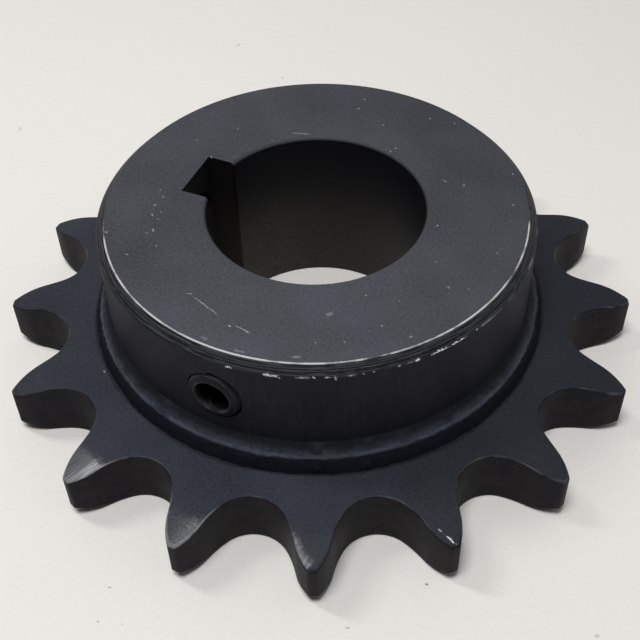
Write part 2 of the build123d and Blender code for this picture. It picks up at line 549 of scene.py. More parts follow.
def spreadAlong(points, count, crowding):
    # the same line with a set number of steps, shorter towards its end
    lengths = [0.0]
    for first, second in zip(points, points[1:]):
        lengths.append(lengths[-1] + (second - first).length)
    result, index = [], 0
    for step in range(count + 1):
        share = step / count
        wanted = lengths[-1] * (share + crowding * share * (1 - share))
        while index < len(points) - 2 and lengths[index + 1] < wanted:
            index += 1
        span = max(lengths[index + 1] - lengths[index], 1e-9)
        result.append(points[index].lerp(points[index + 1], min((wanted - lengths[index]) / span, 1.0)))
    return result


def toothRows(sizes):
    # rows of the plate's surface from the hole's top edge, across the back face and up round the rim:
    # (inset from the outline, drop below the face, side: 0 back 1 front), (share of the way in from the rim
    # to where the bevel starts, share from there to the hole, 1 on the broken edge)
    edge = sizes["edgeBreak"]
    faces = [(1, share) for share in (1, 0.6, 0.3, 0.16, 0.08, 0.03, 0)]
    faces += [(share, 0) for share in (0.8, 0.6, 0.3, 0.08)]

    def broken(share):
        # inset and drop along the broken edge: between a round and a flat
        turn = math.radians(90 * share)
        return edge * 0.5 * (1 - math.sin(turn) + 1 - share), edge * 0.5 * (1 - math.cos(turn) + share)

    insets, onEdge = [broken(step / 5) for step in range(6)], [0.35, 0.9, 1, 1, 0.9, 0.35]
    rows = [((edge, 0, 1), (1, 1, 0))]
    rows += [((edge, 0, 0), (*shares, 0)) for shares in faces]
    rows += [((*inset, 0), (0, 0, share)) for inset, share in zip(insets, onEdge)]
    rows += [((0, edge, side), (0, 0, 0)) for side in (0.03, 0.08, 0.18, 0.34, 0.5, 0.66, 0.82, 0.92, 0.97)]
    rows += [((*inset, 1), (0, 0, share)) for inset, share in zip(reversed(insets), onEdge)]
    rows += [((edge, 0, 1), (*shares, 0)) for shares in reversed(faces)]
    return rows


def plateTree(inputs):
    tree, given = newTree("toothedPlate", "GeometryNodeTree", inputs)
    perTooth = given.outlinePoints
    grid, column, row = startGrid(tree, perTooth * given.toothCount, given.sectionRows)
    tooth = calc("FLOOR", (column + 0.5) / perTooth)
    point, normal = readGuide(given, "inward", column - tooth * perTooth)
    section, shares = readGuide(given, "inward", perTooth + row)
    inset, drop, side = splitXYZ(section)
    near, far, onEdge = splitXYZ(shares)
    # the broken edge grows towards the tip, by its own amount on each tooth; the outline starts in the gap
    # before the tooth, so the last gap's end is the first tooth's too
    chance = {2: 0.75, 3: 1.15, "ID": calc("FLOORED_MODULO", tooth, given.toothCount), "Seed": given.seed}
    chance = addTerm(tree, "FunctionNodeRandomValue", chance, 1, data_type="FLOAT")
    pointRadius = vectorCalc("LENGTH", point, key="Value")
    tipShare = fade(pointRadius, given.tipBreakFrom, given.outsideRadius, "LINEAR")
    growth = 1 + tipShare * given.tipBreakGrowth * chance
    inset, drop = inset * growth, drop * (0.2 + growth * 0.8)
    rim = vectorCalc("ADD", point, vectorCalc("MULTIPLY", normal, joinXYZ(inset, inset, 0.0)))
    rimRadius = vectorCalc("LENGTH", rim, key="Value")
    bevelRow = calc("SMOOTH_MIN", rimRadius - 0.6 * mm, given.bevelStart, 2 * mm)
    radius = blendValue(far, blendValue(near, rimRadius, bevelRow), given.holeRadius)
    scale = radius / rimRadius
    flat = vectorCalc("MULTIPLY", rim, joinXYZ(scale, scale, 0.0))
    turn = {"Vector": flat, "Angle": tooth * math.tau / given.toothCount}
    swung = addTerm(tree, "ShaderNodeVectorRotate", turn, rotation_type="Z_AXIS")
    # the bevel runs into the flat face over a short curve
    past, blend = radius - given.bevelStart, given.bevelBlend
    eased = (past + calc("SQRT", past * past + blend * blend)) * 0.5
    over = calc("MAXIMUM", eased - 0.05 * mm, 0.0) * given.bevelSlope + drop
    height = blendValue(side, over, given.thickness - over)
    place = vectorCalc("ADD", swung, joinXYZ(0.0, 0.0, height))
    return finishGrid(grid, place, "onEdge", onEdge, given.material)


def buildPlate(sizes, material):
    half = [point * mm for point in spreadAlong(halfToothOutline(sizes), sizes["columnsPerHalfTooth"], 0.35)]
    halfTooth = 180 / sizes["toothCount"]
    middle, turn = polar(1, halfTooth), Matrix.Rotation(math.radians(2 * halfTooth), 2)
    outline = half + [2 * middle * point.dot(middle) - point for point in reversed(half[1:-1])]
    before = [turn.inverted() @ outline[-1]] + outline[:-1]
    after = outline[1:] + [turn @ outline[0]]
    # the outline starts in a gap, and the middle of a tooth lies on +X
    back = Matrix.Rotation(math.radians(-halfTooth), 2)
    points, inward = [], []
    for here, last, following in zip(outline, before, after):
        along = back @ (following - last).normalized()
        points.append((*(back @ here), 0))
        inward.append((-along.y, along.x, 0))
    rows = toothRows(sizes)
    points += [(inset * mm, drop * mm, side) for (inset, drop, side), _ in rows]
    inward += [shares for _, shares in rows]
    inputs = {
        "guide": None,
        "outlinePoints": len(outline),
        "sectionRows": len(rows),
        "toothCount": sizes["toothCount"],
        **inMetres(sizes, "thickness", "outsideRadius", "holeRadius"),
        **inMetres(sizes, "bevelStart", "bevelBlend", "tipBreakFrom"),
        "bevelSlope": math.tan(math.radians(sizes["bevelAngle"])),
        "tipBreakGrowth": sizes["tipBreak"] / sizes["edgeBreak"] - 1,
        "seed": sizes["seed"],
        "material": material,
    }
    guide = guidePoints("toothPoints", points, "inward", inward)
    plate = growMesh("toothPlate", plateTree(inputs), inputs, guide)
    tidyFaces(plate.data, 30)
    return plate


def groundTips(place, tips):
    # how ground each point is, and its strokes
    mask, stroke = 0.0, 0.0
    for direction, radius, inward, heading, reach, halfWidth, brightSide, stretch, strength in tips:
        area = placeGroup(
            groundStrokes,
            place=place,
            middle=(*polar(radius * mm, direction), 0),
            inward=(*polar(1, inward), 0),
            along=(*polar(1, heading), 0),
            reach=reach * mm,
            halfWidth=halfWidth * mm,
            brightSide=brightSide * mm,
            stretch=stretch,
        )
        mask = area.mask * strength + mask
        stroke = area.mask * area.stroke + stroke
    return mask, stroke


def plateMaterial(sizes):
    material, place, normal = startMaterial("plateOxide", 0.14)
    radius, angle, _ = roundAxis(place)
    dark, light = (0.0115, 0.0140, 0.0185), (0.0440, 0.0510, 0.0645)
    steel = placeGroup(oxideTone, place=place, dark=dark, light=light, grainScale=1300.0)
    rust = fade(noiseValue(place, 260.0, 4.0, 0.75), 0.36, 0.64)
    # the flanks take a darker tone than the top faces, flecked with rust: painted shade on the faces turned
    # from the light
    shadedFlankTone = blendColor(rust, (0.0048, 0.0046, 0.0092), (0.0140, 0.0106, 0.0136))
    # painted shade: the plate is darker towards one side, where the light falls off
    shadeToOneSide = fade(towards(place, sizes["shadedSide"]), -0.01, 0.09) * 0.5
    facing = fade(splitXYZ(normal)[2], 0.35, 0.85)
    tone = blendColor(facing, shadedFlankTone, blendColor(shadeToOneSide, steel.tone, (0.008, 0.0095, 0.013)))
    # a dark ring at the weld's toe: painted shade of the undercut, with some heat tint
    toeShade = band(radius + (steel.cloud - 0.5) * 0.0006, sizes["weldToe"] * mm, 0.0009)
    tone = blendColor(toeShade * 0.75, tone, (0.006, 0.0065, 0.008))
    # the edges are worn bare, with a painted highlight that is brightest on one side
    bright = window(angle, *sizes["wornAndHighlitSide"]) * fade(radius, 0.074, 0.082)
    amount = bright * 0.25 + 0.38
    wearAndHighlight = placeGroup(edgeWearAndHighlight, place=place, nearness=readAttribute(place, "onEdge"), amount=amount)
    edgeWearAndHighlightTone = blendColor(bright, (0.085, 0.09, 0.097), (0.23, 0.235, 0.245))
    tone = blendColor(wearAndHighlight.mask * 0.8, tone, edgeWearAndHighlightTone)
    ground, stroke = groundTips(place, sizes["ground"])
    strokeTone = blendColor(stroke, (0.03, 0.032, 0.037), (0.44, 0.44, 0.46))
    tone = blendColor(ground * facing, tone, strokeTone)
    tone = blendColor(surfaceMarks(place, sizes["marks"]), tone, (0.8, 0.8, 0.8))
    roughness = 0.5 + steel.grain * 0.15 - wearAndHighlight.mask * 0.1
    height = steel.grain * 0.5 + steel.cloud * 0.1 + stroke * 0.5
    return finishMaterial(material, tone, roughness, height, 0.35)


finishPiece(buildPlate(plateSizes, plateMaterial(plateSizes)), "tooth_plate")


# the thread of the set screws and of the holes they run in
threadSizes = {
    "pitch": 25.4 / 11,
    "crest": 7.9375,
    "depth": 1.40,
    "holeCrest": 6.62,
    "holeRoot": 8.0,
    # share of half a pitch that the flat at the root and the one at the crest each take up
    "flat": 0.14,
}


def holeRadius(distance, turn, threaded=1):
    # a tapped hole's radius at a distance from the bore's axis and an angle round the hole, in radians, with
    # this share of its thread
    crest, root, flat = threadSizes["holeCrest"], threadSizes["holeRoot"], threadSizes["flat"]
    phase = (distance / threadSizes["pitch"] - turn / math.tau) % 1.0
    share = min(max((abs(phase - 0.5) * 2 - flat) / (1 - 2 * flat), 0.0), 1.0)
    return crest + (root - crest) * share * threaded


# the hub
hubSizes = {
    "radius": 58.7375,
    "length": 50.8,
    "chamfer": 2.4,
    "edgeRound": 0.35,
    "foot": 17.0,
    "spigotRadius": 47.625,
    "spigotChamfer": 0.5,
    "boreRadius": 29.36875,
    "boreChamfer": 0.8,
    "backChamfer": 0.4,
    "keyHalfWidth": 7.9375,
    "keyFloor": 36.213,
    "keyFloorColumns": 12,
    "keyWallColumns": 4,
    "screwHeight": 36.0,
    "columns": 360,
    "boreRowHeight": 1.1,
    # for each tapped hole: its column, and how many cells its outer and inner mouths take up either way,
    # with how much further the cells round them are drawn
    "holes": {
        "side": (88, (8, 8, 1.4), (10, 6, 1.5)),
        "keyway": (0, (8, 8, 1.4), (10, 6, 1.2)),
    },
    "holeRows": 100,
    # the outer mouth's edge runs outward round the hole as the thread comes out: lowest radius, how much it
    # grows in a turn, where it steps back, and how deep it is before the full thread
    "mouth": (7.3, 0.75, 101, 1.3),
    "shadedSide": 215,
    "sheenSide": 130,
    # where the bore is lighter to one side, low down in the painted floor light: (middle, half, fading)
    "lighterPatchSide": (338, 34, 22),
    # how worn the chamfer's two edges are round the hub, with a painted highlight that follows the same
    # amounts: (middle, half the length, fading, amount)
    "topWearAndHighlight": (
        (49, 22, 5, 0.32),
        (76, 9, 4, 0.30),
        (91, 8, 4, 0.52),
        (104, 5, 3, 0.36),
        (122, 13, 3, 0.24),
        (147, 12, 4, 0.40),
        (176, 22, 5, 0.32),
    ),
    "lowWearAndHighlight": ((177, 20, 3, 0.24), (147, 12, 3, 0.12), (118, 18, 5, 0.2)),
    # on the wall and the chamfer: (direction, radius, height, lean, dip, length, width, strength)
    "wallMarks": (
        (93.1, 58.7, 48.4, 0, 0, 1.6, 0.5, 0.8),
        (103.2, 58.7, 48.35, 0, 0, 4.6, 0.85, 0.75),
        (104.9, 58.6, 48.1, 0, 50, 1.4, 0.6, 0.5),
        (110.4, 58.7, 48.4, 0, 0, 0.8, 0.5, 0.6),
        (113.1, 58.7, 48.4, 0, 0, 0.9, 0.5, 0.5),
        (116.0, 58.7, 48.4, 0, 0, 0.8, 0.4, 0.6),
        (118.0, 58.7, 47.8, 0, 80, 1.8, 0.5, 0.5),
        (121.4, 58.7, 48.4, 0, 0, 0.9, 0.4, 0.5),
        (124.4, 58.7, 48.4, 0, 0, 0.7, 0.4, 0.5),
        (126.9, 58.7, 48.4, 0, 0, 0.8, 0.4, 0.5),
        (133.0, 58.7, 48.4, 0, 0, 0.9, 0.5, 0.6),
        (137.4, 58.7, 48.4, 0, 0, 1.5, 0.9, 1.0),
        (143.6, 58.7, 48.4, 0, 0, 5.6, 0.6, 0.95),
        (148.8, 58.7, 48.4, 0, 0, 5.8, 0.5, 0.9),
        (154.8, 58.7, 48.4, 0, 0, 1.0, 0.5, 0.6),
    ),
    # on the end face: (direction, radius, lean, length, width, strength)
    "topMarks": (
        (76.7, 45.6, -8, 11.6, 0.34, 0.42), (70.0, 45.0, 40, 1.8, 0.3, 0.45),
        (91.9, 48.2, -16, 6.6, 0.3, 0.4), (88.2, 48.6, 0, 0.7, 0.6, 0.5),
        (118.4, 40.6, 20, 2.2, 1.5, 0.14), (108.8, 54.4, 10, 2.6, 0.9, 0.16),
        (94.5, 55.1, 0, 3.2, 0.8, 0.14), (84.5, 54.7, 0, 2.4, 0.9, 0.14),
        (300.8, 31.9, -14, 6.2, 0.4, 0.4), (348.0, 36.2, 30, 1.5, 0.7, 0.6),
        (33.1, 55.6, 45, 1.1, 0.8, 0.22), (13.4, 42.9, 0, 0.8, 0.5, 0.3),
        (17.2, 41.5, 30, 0.9, 0.5, 0.3), (21.8, 43.1, 60, 0.8, 0.6, 0.35),
        (25.8, 41.2, 0, 0.7, 0.5, 0.3), (27.2, 43.5, 20, 1.0, 0.6, 0.35),
        (29.6, 41.9, 70, 0.7, 0.5, 0.3), (35.2, 43.5, 0, 1.1, 0.6, 0.35),
        (36.2, 45.1, 40, 0.8, 0.5, 0.3), (43.6, 43.8, 0, 0.7, 0.5, 0.25),
        (250.3, 32.9, 0, 0.8, 0.6, 0.4), (250.9, 30.9, 0, 0.7, 0.6, 0.35),
        (252.3, 50.1, 0, 0.7, 0.6, 0.3), (244.9, 53.2, 0, 0.7, 0.6, 0.3),
        (218.3, 36.2, 30, 1.5, 0.5, 0.3), (214.0, 40.7, 0, 0.9, 0.6, 0.3),
        (187.6, 32.9, 0, 0.7, 0.6, 0.35), (215.8, 55.1, 0, 0.7, 0.5, 0.3),
        (195.0, 51.8, 0, 0.7, 0.5, 0.3), (264.6, 40.0, 0, 0.7, 0.5, 0.3),
        (162.7, 49.7, 0, 0.7, 0.5, 0.3), (180.2, 50.2, 0, 0.6, 0.5, 0.3),
        (142.8, 41.7, 0, 0.6, 0.5, 0.3), (133.0, 47.4, 0, 0.6, 0.5, 0.3),
        (121.3, 50.2, 0, 0.6, 0.5, 0.3), (133.1, 36.4, 0, 0.6, 0.5, 0.3),
    ),
}


def keyedBorePoint(sizes, column, radius, grown):
    # where a column meets the bore or the keyway, in plan
    half, floorX = sizes["keyHalfWidth"] + grown, sizes["keyFloor"] + grown
    floorColumns, wallColumns = sizes["keyFloorColumns"], sizes["keyWallColumns"]
    steps = column if column <= sizes["columns"] / 2 else column - sizes["columns"]
    side, steps = (1 if steps >= 0 else -1), abs(steps)
    corner = math.sqrt(radius**2 - half**2)
    if steps <= floorColumns:
        return Vector((floorX, side * half * steps / floorColumns))
    if steps <= floorColumns + wallColumns:
        return Vector((floorX + (corner - floorX) * (steps - floorColumns) / wallColumns, side * half))
    start = math.degrees(math.atan2(half, corner))
    first, last = floorColumns + wallColumns, sizes["columns"] / 2
    point = polar(radius, start + (180 - start) * (steps - first) / (last - first))
    return Vector((point.x, side * point.y))


def hubRows(sizes):
    # rows round the hub's section: ("in", radius, height, how far the keyway is opened), ("across", share of
    # the way from the rim to the outer edge, height), ("out", radius, height); and the rows at screw height,
    # outside and in the bore
    bore, length, radius, middle = sizes["boreRadius"], sizes["length"], sizes["radius"], sizes["screwHeight"]
    cell, tall = radius * math.tau / sizes["columns"], sizes["boreRowHeight"]
    rows = [("in", bore + sizes["backChamfer"], 0, 0.1), ("in", bore, sizes["backChamfer"], 0)]
    below, above = int((middle - 1.5) / tall), int((length - 1.4 - middle) / tall)
    innerRow = len(rows) + below
    rows += [("in", bore, middle + step * tall, 0) for step in range(-below, above + 1)]
    rim, rimHeight = bore + sizes["boreChamfer"], length - sizes["boreChamfer"]
    rows += [("in", bore, rimHeight - 0.1, 0), ("in", bore + 0.06, rimHeight + 0.03, 0)]
    rows += [("in", rim - 0.12, length - 0.14, 0), ("in", rim + 0.02, length - 0.03, 0.06)]
    rows += [("in", rim + 0.14, length, 0.12)]
    rows += [("across", share, length) for share in (0.12, 0.3, 0.5, 0.7, 0.88)]
    edge, eighth = sizes["edgeRound"], math.radians(22.5)
    chamferTop, chamferFoot = radius - sizes["chamfer"], length - sizes["chamfer"]
    for corner, start in ((Vector((chamferTop, length)), 90), (Vector((radius, chamferFoot)), 45)):
        roundMiddle = corner - polar(edge / math.cos(eighth), start - 22.5)
        for step in range(4):
            rows.append(("out", *(roundMiddle + polar(edge, start - 15 * step))))
    top, low = int((chamferFoot - 0.6 - middle) / cell), int((middle - sizes["foot"] - 0.4) / cell)
    outerRow = len(rows) + top
    rows += [("out", radius, middle - step * cell) for step in range(-top, low + 1)]
    rows += [("out", radius, sizes["foot"]), ("out", sizes["spigotRadius"], sizes["foot"])]
    rows += [("out", sizes["spigotRadius"], sizes["spigotChamfer"])]
    rows += [("out", sizes["spigotRadius"] - sizes["spigotChamfer"], 0)]
    return rows, outerRow, innerRow


def mouthRadius(mouth, depth, distance, turn):
    # the tapped hole this deep below its outer mouth
    lowest, growth, stepAngle, runOut = mouth
    edge = lowest + growth * ((math.degrees(turn) - stepAngle) / 360 % 1)
    share = min(depth / runOut, 1)
    return edge + (holeRadius(distance, turn) - edge) * share * share


def borderTurn(p, q, halfColumns, halfRows):
    # the angle round a hole for a point of the unit square, by how many cells round its border it is
    if abs(p) >= abs(q):
        cells = q * halfRows if p > 0 else 2 * (halfRows + halfColumns) - q * halfRows
    elif q > 0:
        cells = halfRows + (1 - p) * halfColumns
    else:
        cells = 3 * halfRows + 2 * halfColumns + (1 + p) * halfColumns
    return math.tau * cells / (4 * (halfRows + halfColumns))


def cutHole(sizes, name, points, outerRow, innerRow):
    # draws the grid's points round a tapped hole out to its mouths and adds the points of its wall; returns
    # the grid points inside the mouths, and the wall's faces
    column, outerCells, innerCells = sizes["holes"][name]
    columns, mouth, gone = sizes["columns"], sizes["mouth"], set()
    out = polar(1, column * 360 / columns).to_3d()
    side = Vector((-out.y, out.x, 0))

    def spot(distance, across, above):
        return out * distance + side * across + Vector((0, 0, sizes["screwHeight"] + above))

    def outerWall(across):
        return math.sqrt(sizes["radius"] ** 2 - across**2)

    def innerWall(across):
        return sizes["keyFloor"] if name == "keyway" else math.sqrt(sizes["boreRadius"] ** 2 - across**2)

    def openMouth(middleRow, sense, wall, cells, edgeAt):
        # the points round a mouth, whose edge is this far from its middle at each angle
        halfColumns, halfRows, reach = cells
        middle, beside = points[column, middleRow], points[column + 1, middleRow]
        start, cellWidth = middle.dot(side), (beside - middle).dot(side)
        cellHeight = abs(points[column, middleRow + 1].z - middle.z)
        ring, around = {}, 4 * (halfRows + halfColumns)
        for right in range(-int(halfColumns * reach), int(halfColumns * reach) + 1):
            for above in range(-int(halfRows * reach), int(halfRows * reach) + 1):
                key = ((column + right) % columns, middleRow + sense * above)
                spread = max(abs(right) / halfColumns, abs(above) / halfRows)
                if spread < 1:
                    gone.add(key)
                    continue
                p, q = right / halfColumns / spread, above / halfRows / spread
                turn = borderTurn(p, q, halfColumns, halfRows)
                near = polar(edgeAt(turn), math.degrees(turn))
                farWidth, farHeight = p * halfColumns * reach, q * halfRows * reach
                far = Vector((start + cellWidth * farWidth, cellHeight * farHeight))
                flat = near.lerp(far, (spread - 1) / (reach - 1))
                points[key] = spot(wall(flat.x), flat.x, flat.y)
                if spread == 1:
                    ring[round(turn / math.tau * around) % around] = key
        return [ring[index] for index in range(around)]

    rings = [openMouth(outerRow, -1, outerWall, outerCells, lambda turn: mouthRadius(mouth, 0, 0, turn))]
    count, crest = len(rings[0]), threadSizes["holeCrest"]
    for level in range(1, sizes["holeRows"]):
        share = level / sizes["holeRows"]
        for index in range(count):
            turn = math.tau * index / count
            outer = outerWall(crest * math.cos(turn))
            depth = (outer - innerWall(crest * math.cos(turn))) * share
            edge = holeRadius(outer - depth, turn, min((1 - share) * 15, 1))
            if depth < mouth[3]:
                edge = mouthRadius(mouth, depth, outer - depth, turn)
            points[name, level, index] = spot(outer - depth, edge * math.cos(turn), edge * math.sin(turn))
        rings.append([(name, level, index) for index in range(count)])
    rings.append(openMouth(innerRow, 1, innerWall, innerCells, lambda turn: crest))
    faces = []
    for first, second in zip(rings, rings[1:]):
        for index in range(count):
            after = (index + 1) % count
            faces.append((first[index], first[after], second[after], second[index]))
    return gone, faces


def buildHub(sizes, material):
    # a grid round the hub's section, cut open at the tapped holes
    rows, outerRow, innerRow = hubRows(sizes)
    columns, points = sizes["columns"], {}
    for column in range(columns):
        angle = column * 360 / columns
        outer = polar(sizes["radius"] - sizes["chamfer"] - sizes["edgeRound"], angle)
        rim = keyedBorePoint(sizes, column, sizes["boreRadius"] + sizes["boreChamfer"] + 0.14, 0.12)
        for row, (kind, value, height, *grown) in enumerate(rows):
            if kind == "in":
                flat = keyedBorePoint(sizes, column, value, grown[0])
            else:
                flat = rim.lerp(outer, value) if kind == "across" else polar(value, angle)
            points[column, row] = Vector((*flat, height))
    gone, holeFaces = set(), []
    for name in sizes["holes"]:
        inside, wall = cutHole(sizes, name, points, outerRow, innerRow)
        gone |= inside
        holeFaces += wall
    work = bmesh.new()
    made = {key: work.verts.new(point * mm) for key, point in points.items() if key not in gone}
    for column in range(columns):
        for row in range(len(rows)):
            after, following = (column + 1) % columns, (row + 1) % len(rows)
            corners = [(column, row), (after, row), (after, following), (column, following)]
            if gone.isdisjoint(corners):
                work.faces.new([made[key] for key in corners])
    for corners in holeFaces:
        work.faces.new([made[key] for key in corners])
    mesh = meshFrom(work, "hubBody", material)
    tidyFaces(mesh, 25)
    return addObject("hubBody", mesh)


def wornAndHighlitEdge(place, around, cornerRadius, cornerHeight, width, windows, least):
    # how worn a circular edge is, with a painted highlight, of this radius and height: more along its windows
    # and least elsewhere
    radius, angle, z = around
    out, above = radius - cornerRadius * mm, z - cornerHeight * mm
    distance, amount = calc("SQRT", out * out + above * above), least
    for *span, more in windows:
        amount = window(angle, *span) * more + amount
    nearness = 1 - fade(distance, width * 0.25, width, "LINEAR")
    return placeGroup(edgeWearAndHighlight, place=place, nearness=nearness, amount=amount).mask


def hubMaterial(sizes):
    material, place, normal = startMaterial("hubOxide", 0.16)
    around = roundAxis(place)
    radius, angle, z = around
    up = splitXYZ(normal)[2]
    facing, slanted = fade(up, 0.6, 0.95), band(up, 0.707, 0.28)
    dark, light = (0.024, 0.0263, 0.0315), (0.080, 0.0865, 0.1015)
    steel = placeGroup(oxideTone, place=place, dark=dark, light=light, grainScale=1300.0)
    # the walls are streaked up and down, and painted darker down at the weld as shade
    streaked = noiseValue(vectorCalc("MULTIPLY", place, (1.0, 1.0, 0.12)), 1100.0, 3.0, 0.7)
    patchy = steel.cloud * 0.4 + (streaked - 0.5) * 1.6 + steel.grain * 0.9 - 0.15
    weldFootShade = fade(z, 0.0235, 0.03) * 0.45 + 0.55
    wallTone = blendColor(patchy * weldFootShade, (0.0052, 0.0052, 0.0098), (0.0192, 0.0197, 0.0292))
    # the bore and the keyway's walls: painted shade high up, and painted light bounced from the floor further
    # down, browner and lighter
    floorBounce = 1 - fade(z, 0.014, 0.046)
    boreTone = blendColor(floorBounce, (0.0026, 0.0024, 0.0060), (0.037, 0.0325, 0.0305))
    # a lighter patch to one side, low down within the painted floor light
    lighterPatch = window(angle, *sizes["lighterPatchSide"]) * fade(floorBounce, 0.2, 1.0)
    boreTone = blendColor(lighterPatch * 0.5, boreTone, (0.075, 0.066, 0.060))
    dotted = (1 - fade(steel.grain, 0.4, 0.6)) * 0.45
    boreTone = blendColor(dotted, boreTone, (0.002, 0.002, 0.003))
    keyTone = blendColor(floorBounce, (0.010, 0.009, 0.010), (0.032, 0.026, 0.022))
    innerTone = blendColor(fade(radius, 0.0297, 0.0303), boreTone, keyTone)
    sideTone = blendColor(fade(radius, 0.0375, 0.0385), innerTone, wallTone)
    # painted shade and sheen: the end face is darker to one side and lighter to another
    shadeToOneSide = fade(towards(place, sizes["shadedSide"]), -0.01, 0.06) * 0.25
    topTone = blendColor(shadeToOneSide, steel.tone, (0.020, 0.022, 0.026))
    sheenToOneSide = fade(towards(place, sizes["sheenSide"]), 0.0, 0.045) * 0.1
    topTone = blendColor(sheenToOneSide, topTone, (0.150, 0.164, 0.195))
    # the walls and the bore take darker tones than the end face: painted shade on the faces turned from the
    # light
    tone = blendColor(facing, sideTone, topTone)
    # turned rings: across the end face and the chamfer by radius, down the walls by height
    across = placeGroup(turnedMarks, place=place, distance=radius)
    down = placeGroup(turnedMarks, place=place, distance=z)
    ridge = blendValue(facing, down.ridge, across.ridge)
    # the outer chamfer takes its own darker tone, painted shade, with lighter turned lines
    lines = fade(across.streak, 0.42, 0.62)
    shadedChamferTone = blendColor(lines, (0.007, 0.007, 0.010), (0.054, 0.056, 0.064))
    tone = blendColor(slanted * fade(radius, 0.05, 0.052), tone, shadedChamferTone)
    # a painted highlight along the bore's chamfer
    rim = band(radius, (sizes["boreRadius"] + 0.5) * mm, 0.0006) * fade(z, 0.0497, 0.0501)
    tone = blendColor(rim * 0.7, tone, (0.075, 0.077, 0.08))
    tone = blendColor(placeGroup(paleSpecks, place=place).mask * facing, tone, (0.2, 0.2, 0.2))
    # the chamfer's edges are worn bare and carry a painted highlight, brighter along the windows
    chamferTop, chamferFoot = sizes["radius"] - sizes["chamfer"], sizes["length"] - sizes["chamfer"]
    top = wornAndHighlitEdge(place, around, chamferTop, sizes["length"], 0.00037, sizes["topWearAndHighlight"], 0.2)
    low = wornAndHighlitEdge(place, around, sizes["radius"], chamferFoot, 0.0005, sizes["lowWearAndHighlight"], 0.12)
    bareAndHighlit = calc("MAXIMUM", top, low * 0.45)
    tone = blendColor(bareAndHighlit, tone, (0.54, 0.54, 0.54))
    marks = [*sizes["wallMarks"], *flatMarks(sizes["topMarks"], sizes["length"])]
    tone = blendColor(surfaceMarks(place, marks), tone, (0.8, 0.8, 0.8))
    roughness = 0.48 + steel.grain * 0.15 - bareAndHighlit * 0.12
    return finishMaterial(material, tone, roughness, steel.grain * 0.4 + ridge * 0.5)


finishPiece(buildHub(hubSizes, hubMaterial(hubSizes)), "hub")


# the weld
weldSizes = {
    "hubRadius": 58.7375,
    "plateHeight": 17.0,
    "plateLeg": 4.6,
    "hubLeg": 7.5,
    # how far the section's shoulder stands out from the hub and up from the plate, and its pull
    "shoulderOut": 3.05,
    "shoulderUp": 4.6,
    "shoulderWeight": 2.4,
    "rippleLength": 2.3,
    "rippleHeight": 0.05,
    "waviness": 0.7,
    "lumpiness": 0.95,
    "columns": 960,
    "rows": 26,
    "seed": 3.0,
    # swellings and spatter: (direction, length along the bead, share of the way down it, share covered,
    # height)
    "lumps": (
        (56.7, 6.0, 0.12, 0.26, 0.55),
        (62.8, 5.2, 0.14, 0.26, 0.5),
        (72.5, 7.4, 0.16, 0.36, 0.85),
        (113.2, 5.6, 0.14, 0.26, 0.55),
        (125.9, 5.0, 0.12, 0.26, 0.5),
        (134.4, 6.0, 0.14, 0.26, 0.5),
        (146.6, 5.4, 0.12, 0.26, 0.5),
        (162.4, 6.2, 0.14, 0.26, 0.5),
        (124.7, 2.6, 0.90, 0.12, 0.6),
        (113.2, 2.6, 0.90, 0.12, 0.5),
        (20, 8, 0.2, 0.4, 0.4),
        (-60, 6, 0.2, 0.4, 0.5),
        (-130, 7, 0.2, 0.4, 0.5),
    ),
    # where one pass ends over the other: direction at the hub's side, degrees it shifts down the bead, its
    # length and height
    "overlap": (100.4, -2.6, 5.0, 0.45),
}


